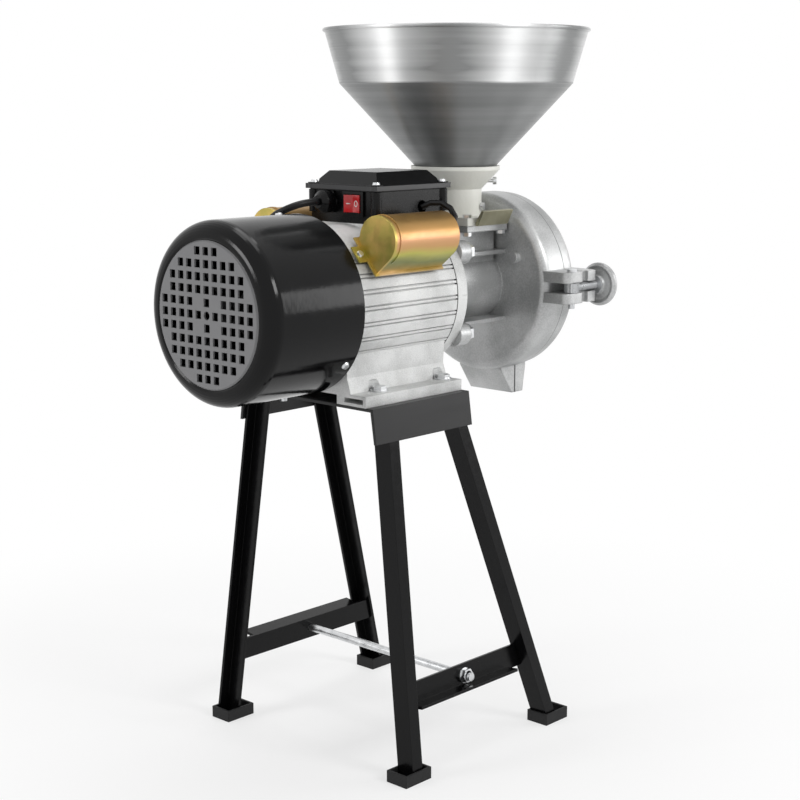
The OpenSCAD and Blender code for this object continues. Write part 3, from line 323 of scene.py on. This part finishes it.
# ---------------------------------------------------------------- stand
# A folded sheet-steel top on four legs of angle iron, with two angle-iron crossbars, all
# welded and stoved black: legs and bars in gloss, the top in satin.
black_stove, tree, shader = coat("black_stove", (0.003, 0.003, 0.0033), 0.2, specular=0.15)
orange_peel = grain(tree, 160, detail=3)
between(tree, orange_peel, 0.16, 0.26, shader.inputs["Roughness"])
relief(tree, shader, orange_peel, depth=0.0001, edge=0.0008)
dress(black_stove, "leg_fan_near", "leg_fan_far", "leg_head_near", "leg_head_far",
      "crossbar_near", "crossbar_far")
satin_stove, tree, shader = coat("satin_stove", (0.012, 0.012, 0.0125), 0.4, specular=0.3)
rolled = grain(tree, 120, stretch=(0.1, 1, 1))
between(tree, rolled, 0.32, 0.44, shader.inputs["Roughness"])
relief(tree, shader, rolled, depth=0.00006, edge=0.0012)
dress(satin_stove, "stand_top")

# ---------------------------------------------------------------- rubber shoes
# Trays of matt black rubber. They are moulded, with rounded corners, and the legs are
# pushed into them.


def shades(tree, value, stops, socket):
    """Carries a value through a band of colours, given as places and colours."""
    band = tree.nodes.new("ShaderNodeValToRGB")
    while len(band.color_ramp.elements) < len(stops):
        band.color_ramp.elements.new(1.0)
    for element, (place, colour) in zip(band.color_ramp.elements, stops):
        element.position = place
        element.color = (*colour, 1)
    tree.links.new(value, band.inputs["Fac"])
    tree.links.new(band.outputs["Color"], socket)


shoe_rubber, tree, shader = coat("shoe_rubber", (0.012, 0.012, 0.0125), 0.7, specular=0.3)
matt = grain(tree, 500)
shades(tree, matt, [(0.3, (0.009, 0.009, 0.0095)), (0.7, (0.016, 0.016, 0.0165))],
       shader.inputs["Base Color"])
relief(tree, shader, matt, depth=0.0001, edge=0.0015)
dress(shoe_rubber, "foot_pads")

# ---------------------------------------------------------------- tie rod and screws
# Bright zinc-plated steel: the rod that ties the crossbars, its nuts and washers, and the
# hexagon and cross-head screws all over the machine.
bright_zinc, tree, shader = coat("bright_zinc", (0.68, 0.69, 0.7), 0.3, metallic=1.0)
plating = grain(tree, 140, detail=5)
between(tree, plating, 0.24, 0.42, shader.inputs["Roughness"])
shades(tree, plating, [(0.3, (0.56, 0.57, 0.58)), (0.7, (0.74, 0.75, 0.76))],
       shader.inputs["Base Color"])
relief(tree, shader, grain(tree, 700), depth=0.00004, edge=0.0005)
dress(bright_zinc, "tie_rod", "tie_rod_nuts", "motor_foot_bolts", "head_bolts", "throat_bolts",
      "hopper_screws", "shield_screws", "hinge_pin", "clamp_pin", "clamp_washer",
      "lock_nut")

# ---------------------------------------------------------------- motor frame and end shields
# Sand-cast aluminium with cooling ribs, feet and a pad for the switch box, left as cast. The
# shields close both ends, and a thin dark line shows where the front one meets the frame.
frame_end, frame_joint_half = 0.0227, 0.0008
pedestal_top = 0.4


def on_mill(tree):
    """Each point's own X, Y and Z on the machine, in metres."""
    here = tree.nodes.new("ShaderNodeTexCoord")
    axes = tree.nodes.new("ShaderNodeSeparateXYZ")
    tree.links.new(here.outputs["Object"], axes.inputs[0])
    return axes.outputs


def joint_at(tree, x, half_width):
    """1 where a point lies less than half the line's width from the plane at x, else 0."""
    off = reckon(tree, "SUBTRACT", on_mill(tree)["X"], x)
    return reckon(tree, "LESS_THAN", reckon(tree, "ABSOLUTE", off), half_width)


def laid_over(tree, share, socket):
    """Two colours on one socket, the second over the first by the share: gives the places
    of the first and the second."""
    pair = tree.nodes.new("ShaderNodeMix")
    pair.data_type = "RGBA"
    tree.links.new(share, pair.inputs[0])
    tree.links.new(pair.outputs[2], socket)
    return pair.inputs[6], pair.inputs[7]


sand_cast, tree, shader = coat("sand_cast", (0.56, 0.565, 0.56), 0.5, metallic=0.25)
sand = grain(tree, 800, detail=6)
clouds = grain(tree, 22, detail=3)
between(tree, sand, 0.42, 0.62, shader.inputs["Roughness"])
mottle = reckon(tree, "MULTIPLY_ADD", grain(tree, 1100, detail=3), 0.6, clouds)
above_feet = reckon(tree, "GREATER_THAN", on_mill(tree)["Z"], pedestal_top)
joint = reckon(tree, "MULTIPLY", joint_at(tree, frame_end, frame_joint_half), above_feet)
cast_tone, joint_tone = laid_over(tree, joint, shader.inputs["Base Color"])
shades(tree, mottle, [(0.62, (0.48, 0.485, 0.48)), (0.96, (0.72, 0.725, 0.72))], cast_tone)
joint_tone.default_value = (0.05, 0.05, 0.05, 1)
relief(tree, shader, sand, depth=0.0005, edge=0.0012)
dress(sand_cast, "motor_frame", "rear_end_shield", "front_end_shield")

# ---------------------------------------------------------------- stator, windings and rotor
# Stamped electrical-steel laminations, wound with enamelled copper wire; the cage rotor is
# of the same laminations with cast end rings.
lamination, tree, shader = coat("lamination", (0.2, 0.2, 0.21), 0.45, metallic=1.0)
sheets = grain(tree, 1400, detail=1, stretch=(1, 0.01, 0.01))
between(tree, sheets, 0.35, 0.6, shader.inputs["Roughness"])
relief(tree, shader, sheets, depth=0.0001)
dress(lamination, "stator_core", "rotor_core")
enamelled_copper, tree, shader = coat("enamelled_copper", (0.5, 0.19, 0.07), 0.32, metallic=1.0)
strands = grain(tree, 500, detail=2)
shades(tree, strands, [(0.3, (0.38, 0.13, 0.05)), (0.7, (0.6, 0.25, 0.1))],
       shader.inputs["Base Color"])
relief(tree, shader, strands, depth=0.0002)
dress(enamelled_copper, "windings")

# ---------------------------------------------------------------- shaft and bearings
# A ground steel shaft in two deep-groove ball bearings of polished steel. The stub that
# carries the fan, in the shade under the cowl, is painted black: painted shade.
steel_grey, stub_shade_black = (0.56, 0.57, 0.58), (0.012, 0.012, 0.013)
black_up_to, ground_from = -0.16, -0.15
ground_steel, tree, shader = coat("ground_steel", steel_grey, 0.22, metallic=1.0)
grinding = grain(tree, 1600, detail=2, stretch=(1, 0.03, 0.03))
between(tree, grinding, 0.16, 0.32, shader.inputs["Roughness"])
relief(tree, shader, grinding, depth=0.00002)
past_stub = spread(tree, on_mill(tree)["X"], black_up_to, ground_from)
# Painted shade: the stub under the cowl is coloured black.
shades(tree, past_stub, [(0.0, stub_shade_black), (1.0, steel_grey)], shader.inputs["Base Color"])
dress(ground_steel, "shaft", "bearing_outer_races", "bearing_inner_races")

# ---------------------------------------------------------------- fan
# Moulded polypropylene, blades and boss in one piece, pressed on the end of the shaft under
# the cowl.
fan_plastic, tree, shader = coat("fan_plastic", (0.008, 0.008, 0.0085), 0.5, specular=0.25)
moulding = grain(tree, 300)
between(tree, moulding, 0.42, 0.6, shader.inputs["Roughness"])
relief(tree, shader, moulding, depth=0.00006)
dress(fan_plastic, "fan")

# ---------------------------------------------------------------- fan cowl
# Drawn sheet steel, stoved gloss black and screwed to the rear shield. The punched plate of
# the grille is painted grey beside the gloss: a painted reflection of the white studio.
# The grey is a painted reflection on the grille plate.
gloss_black, plate_reflection_grey = (0.0025, 0.0025, 0.0028), (0.22, 0.22, 0.225)
cowl_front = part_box("fan_cowl")[0][0]
shaft_height, plate_radius, plate_depth = 0.4595, 0.0695, 0.002
cowl_black, tree, shader = coat("cowl_black", gloss_black, 0.14, specular=0.18)
drawn = grain(tree, 60, detail=3)
between(tree, drawn, 0.11, 0.17, shader.inputs["Roughness"])
relief(tree, shader, grain(tree, 200, detail=2), depth=0.00006, edge=0.0008)
from_shaft = how_far(tree, middle=(0, 0, shaft_height), axes=(0, 1, 1))
within_ring = reckon(tree, "LESS_THAN", from_shaft, plate_radius)
in_front = reckon(tree, "LESS_THAN", on_mill(tree)["X"], cowl_front + plate_depth)
painted_reflection_plate = reckon(tree, "MULTIPLY", within_ring, in_front)
# Painted reflection: the grille plate inside the ring is coloured grey.
shades(tree, painted_reflection_plate, [(0.0, gloss_black), (1.0, plate_reflection_grey)], shader.inputs["Base Color"])
dress(cowl_black, "fan_cowl")

# ---------------------------------------------------------------- capacitor covers
# Pressed steel half shells with flanges, held by screws to bosses on the frame. Their yellow
# chromate runs through gold, green and rose from the top down; the end discs are olive-gold.
disc_up_to, shell_from = -0.0945, -0.0925
shell_low, shell_high = 0.488, 0.548
yellow_chromate, tree, shader = coat("yellow_chromate", (0.42, 0.27, 0.1), 0.36, metallic=0.8)
height = spread(tree, on_mill(tree)["Z"], shell_low, shell_high)
drift = reckon(tree, "MULTIPLY_ADD", grain(tree, 30, detail=3, stretch=(0.4, 1, 1)), 0.22, height)
on_shell = spread(tree, on_mill(tree)["X"], disc_up_to, shell_from)
disc_tone, shell_tone = laid_over(tree, on_shell, shader.inputs["Base Color"])
shades(tree, grain(tree, 60, detail=3), [(0.3, (0.4, 0.36, 0.08)), (0.7, (0.62, 0.43, 0.13))],
       disc_tone)
shades(tree, drift,
       [(0.1, (0.85, 0.64, 0.42)), (0.2, (0.34, 0.24, 0.06)), (0.34, (0.22, 0.24, 0.07)),
        (0.46, (0.48, 0.45, 0.1)), (0.58, (0.56, 0.33, 0.14)), (0.72, (0.6, 0.32, 0.17)),
        (0.86, (0.46, 0.26, 0.09)), (1.0, (0.34, 0.2, 0.06))], shell_tone)
between(tree, grain(tree, 90), 0.3, 0.42, shader.inputs["Roughness"])
relief(tree, shader, grain(tree, 250), depth=0.00003, edge=0.0006)
dress(yellow_chromate, "capacitor_cover_near", "capacitor_cover_far")
dress(bright_zinc, "cover_screws")

# ---------------------------------------------------------------- capacitors and leads
# Drawn aluminium cans inside the covers, and the sleeved leads that run from the covers to
# the switch box.
can_aluminium, tree, shader = coat("can_aluminium", (0.62, 0.63, 0.64), 0.3, metallic=1.0)
drawing = grain(tree, 800, detail=2, stretch=(0.05, 1, 1))
between(tree, drawing, 0.24, 0.4, shader.inputs["Roughness"])
relief(tree, shader, drawing, depth=0.00003)
dress(can_aluminium, "capacitors")
lead_sleeve, tree, shader = coat("lead_sleeve", (0.005, 0.005, 0.0055), 0.3, specular=0.3)
between(tree, grain(tree, 700), 0.25, 0.4, shader.inputs["Roughness"])
relief(tree, shader, grain(tree, 500), depth=0.00008)
dress(lead_sleeve, "capacitor_leads")

# ---------------------------------------------------------------- switch box
# Moulded black housing with a lid on a thin gasket, four screws in its corner ears. The
# lid's lower rim is painted dark grey: a painted highlight along the rim's edge.
moulded_black, rim_highlight_grey = (0.003, 0.003, 0.0033), (0.06, 0.06, 0.062)
rim_up_to, lid_from = 0.5718, 0.5724
box_black, tree, shader = coat("box_black", moulded_black, 0.26, specular=0.2)
fine = grain(tree, 900, detail=3)
between(tree, fine, 0.2, 0.3, shader.inputs["Roughness"])
relief(tree, shader, fine, depth=0.00002, edge=0.0009)
dress(box_black, "switch_box", "cable_gland", "switch_body")
lid_black, tree, shader = coat("lid_black", moulded_black, 0.24, specular=0.22)
above_rim = spread(tree, on_mill(tree)["Z"], rim_up_to, lid_from)
# Painted highlight: the lid's lower rim is coloured dark grey.
shades(tree, above_rim, [(0.0, rim_highlight_grey), (1.0, moulded_black)], shader.inputs["Base Color"])
relief(tree, shader, grain(tree, 900, detail=3), depth=0.00002, edge=0.0009)
dress(lid_black, "box_lid")
soft_gasket, tree, shader = coat("soft_gasket", (0.03, 0.03, 0.03), 0.85)
relief(tree, shader, grain(tree, 600), depth=0.0001)
dress(soft_gasket, "box_gasket", "shaft_seal")
dress(bright_zinc, "lid_screws")

# ---------------------------------------------------------------- rocker
# Clear red plastic that snaps into the switch and tips about an upright pivot. A bar on one
# flat and a ring on the other are filled in white.
pivot = np.array([-0.0603, -0.0145, 0.5545])
rest_turn = np.radians(8)
mid_face = 0.001 * np.array([-6.8, 0.0])
end_face = 0.001 * np.array([-9.0, 9.4])
ring_across, ring_up, bar_across = 0.0021, 0.0027, 0.0022
line_half, sunk, proud = 0.0004, -0.00005, 0.00012
line_sides = line_half * np.array([1, 1, -1, -1])
line_lift = np.array([sunk, proud, proud, sunk])

rocker_red, tree, shader = coat("rocker_red", (0.5, 0.01, 0.015), 0.2,
                                sockets=[("Coat Weight", 0.5), ("Coat Roughness", 0.06)])
tint = grain(tree, 60, detail=2)
shades(tree, tint, [(0.3, (0.42, 0.006, 0.01)), (0.7, (0.6, 0.016, 0.02))],
       shader.inputs["Base Color"])
relief(tree, shader, grain(tree, 800), depth=0.00003, edge=0.0006)
dress(rocker_red, "rocker")
mark_white, tree, shader = coat("mark_white", (0.8, 0.8, 0.78), 0.45)
relief(tree, shader, grain(tree, 900), depth=0.00003)


def on_rocker(side, across, up, lift):
    """Points on one flat of the rocker: across and up are measured on the flat from the
    flat's middle, lift stands off it. The flat runs from the rocker's middle to its end, and
    all is turned about the pivot by the angle at rest."""
    across, up, lift = np.broadcast_arrays(across, up, lift)
    end = end_face * (1, side)
    run = end - mid_face
    run = run / np.linalg.norm(run)
    off = np.array([-run[1], run[0]]) * side
    middle = (mid_face + end) / 2
    local = middle + across[..., None] * run * side + lift[..., None] * off
    c, s = np.cos(rest_turn), np.sin(rest_turn)
    x = c * local[..., 0] - s * local[..., 1]
    y = s * local[..., 0] + c * local[..., 1]
    return pivot + np.stack([x, y, up], -1)


def round_line(centre_across, centre_up):
    """A low raised line along a closed course on the flat. Rows are places on the course;
    columns are the section, which steps up from the flat, across and down again, square to
    the line through the two neighbours of each place."""
    along = np.stack([np.roll(centre, -1) - np.roll(centre, 1)
                      for centre in (centre_across, centre_up)], -1)
    along /= np.linalg.norm(along, axis=1)[:, None]
    across = centre_across[:, None] + along[:, 1:] * line_sides
    up = centre_up[:, None] - along[:, :1] * line_sides
    return across, up, line_lift


angle = np.linspace(0, 2 * np.pi, 48, endpoint=False)
ring = on_rocker(-1, *round_line(ring_across * np.cos(angle), ring_up * np.sin(angle)))
surface("ring_mark", np.concatenate([ring, ring[:1]]), "switch_rocker", mark_white,
        wrap=True)
bar = on_rocker(1, np.array([[bar_across], [-bar_across]]), line_sides, line_lift)
surface("bar_mark", bar, "switch_rocker", mark_white, wrap=True, capped=True)

# ---------------------------------------------------------------- mill casing and door
# Sand-cast aluminium, shot-blasted: a bolting flange, the neck with the feed screw, the inlet
# duct, and the grinding chamber that the door shuts, with a dark line along their joint.
door_joint_half = 0.0011


def middle_x(name):
    """Half way along the shaft between the two ends of a node."""
    return sum(corner[0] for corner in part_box(name)) / 2


blasted_cast, tree, shader = coat("blasted_cast", (0.46, 0.465, 0.465), 0.36, metallic=0.65)
blast = grain(tree, 600, detail=5)
patches = grain(tree, 16, detail=3)
between(tree, blast, 0.34, 0.46, shader.inputs["Roughness"])
speckle = reckon(tree, "MULTIPLY_ADD", blast, 0.5, patches)
door_joint = joint_at(tree, middle_x("door_gasket"), door_joint_half)
cast_tone, joint_tone = laid_over(tree, door_joint, shader.inputs["Base Color"])
shades(tree, speckle, [(0.6, (0.36, 0.365, 0.365)), (0.9, (0.56, 0.565, 0.565))], cast_tone)
joint_tone.default_value = (0.12, 0.12, 0.12, 1)
relief(tree, shader, blast, depth=0.0001, edge=0.002)
dress(blasted_cast, "mill_body", "door", "clamp_wheel", "adjusting_wheel")
dress(soft_gasket, "door_gasket")

# ---------------------------------------------------------------- feed screw and burrs
# Hardened cast iron: the screw on the shaft's end that feeds the grain, the burr that turns
# with it and the one that stands on its guide pins.
burr_iron, tree, shader = coat("burr_iron", (0.2, 0.2, 0.21), 0.45, metallic=1.0)
iron = grain(tree, 500, detail=5)
between(tree, iron, 0.36, 0.6, shader.inputs["Roughness"])
relief(tree, shader, iron, depth=0.0002)
dress(burr_iron, "auger", "rotating_burr", "fixed_burr")

# ---------------------------------------------------------------- adjusting screw, swing bolt
# Turned steel, both with a rolled thread along the shaft's direction: the screw has a foot
# that bears on the burr, the bolt an eye on the clamp's pin.
thread_pitch, thread_depth = 0.00175, 0.0006
threaded_steel, tree, shader = coat("threaded_steel", (0.5, 0.51, 0.52), 0.3, metallic=1.0)
here = tree.nodes.new("ShaderNodeTexCoord")
# One ridge of this texture is pi / 10 over its scale long.
ridges = tree.nodes.new("ShaderNodeTexWave")
ridges.bands_direction = "X"
ridges.inputs["Scale"].default_value = np.pi / 10 / thread_pitch
tree.links.new(here.outputs["Object"], ridges.inputs["Vector"])
between(tree, grain(tree, 300), 0.24, 0.4, shader.inputs["Roughness"])
relief(tree, shader, ridges.outputs["Fac"], depth=thread_depth)
dress(threaded_steel, "adjusting_screw", "swing_bolt")

# ---------------------------------------------------------------- feed throat and gate
# Cast throat painted cream white, four bolts to the duct's flange; under it slides a bent
# plate with an olive passivation.
cream_paint, tree, shader = coat("cream_paint", (0.74, 0.74, 0.69), 0.4)
skin = grain(tree, 180)
between(tree, skin, 0.34, 0.5, shader.inputs["Roughness"])
relief(tree, shader, skin, depth=0.00025, edge=0.0015)
dress(cream_paint, "feed_throat")
olive_zinc, tree, shader = coat("olive_zinc", (0.3, 0.29, 0.2), 0.4, metallic=0.8)
olive = grain(tree, 50, detail=3)
shades(tree, olive, [(0.3, (0.25, 0.24, 0.16)), (0.7, (0.36, 0.34, 0.24))],
       shader.inputs["Base Color"])
relief(tree, shader, grain(tree, 500), depth=0.00004, edge=0.0005)
dress(olive_zinc, "slide_gate")

# ---------------------------------------------------------------- hopper
# Spun from one aluminium disc, with a lip rolled over a wire. The tool leaves fine rings; the
# band above the shoulder is painted brighter than the cone, in pale and dark sectors round the
# axis: a painted reflection of the lamps.
cone_up_to, band_from = 0.669, 0.673
# Count, turn and brightness of the painted reflection: pale and dark sectors round the axis.
sheen_sectors, sheen_turn = 6.0, np.radians(172.0)
band_sheen, sheen_swing, ring_tone = 0.44, 0.26, 0.4
spun_aluminium, tree, shader = coat("spun_aluminium", (0.4, 0.41, 0.41), 0.34, metallic=0.8,
                                    sockets=[("Anisotropic", 0.9), ("Anisotropic Rotation", 0.25)])
around = tree.nodes.new("ShaderNodeTangent")
around.direction_type = "RADIAL"
around.axis = "Z"
tree.links.new(around.outputs["Tangent"], shader.inputs["Tangent"])
rings = grain(tree, 1, stretch=(0.001, 0.001, 700))
broad = grain(tree, 1, detail=2, stretch=(4, 4, 90))
on_hopper = on_mill(tree)
above_shoulder = spread(tree, on_hopper["Z"], cone_up_to, band_from)
# Painted reflection: the band above the shoulder is lightened in pale and dark sectors round the
# axis.
from_axis = reckon(tree, "SUBTRACT", on_hopper["X"], middle_x("hopper"))
bearing = reckon(tree, "ARCTAN2", on_hopper["Y"], from_axis)
round_turn = reckon(tree, "MULTIPLY_ADD", bearing, sheen_sectors, sheen_sectors * sheen_turn)
painted_sheen = reckon(tree, "MULTIPLY_ADD", reckon(tree, "COSINE", round_turn), sheen_swing, band_sheen)
band_painted_sheen = reckon(tree, "MULTIPLY", painted_sheen, above_shoulder)
rings_and_sheen = reckon(tree, "MULTIPLY_ADD", broad, ring_tone, band_painted_sheen)
shades(tree, rings_and_sheen,
       [(0.12, (0.19, 0.195, 0.195)), (0.28, (0.26, 0.265, 0.265)), (0.42, (0.26, 0.265, 0.265)),
        (0.92, (0.74, 0.745, 0.745))], shader.inputs["Base Color"])
between(tree, rings, 0.36, 0.5, shader.inputs["Roughness"])
relief(tree, shader, rings, depth=0.0001)
dress(spun_aluminium, "hopper")
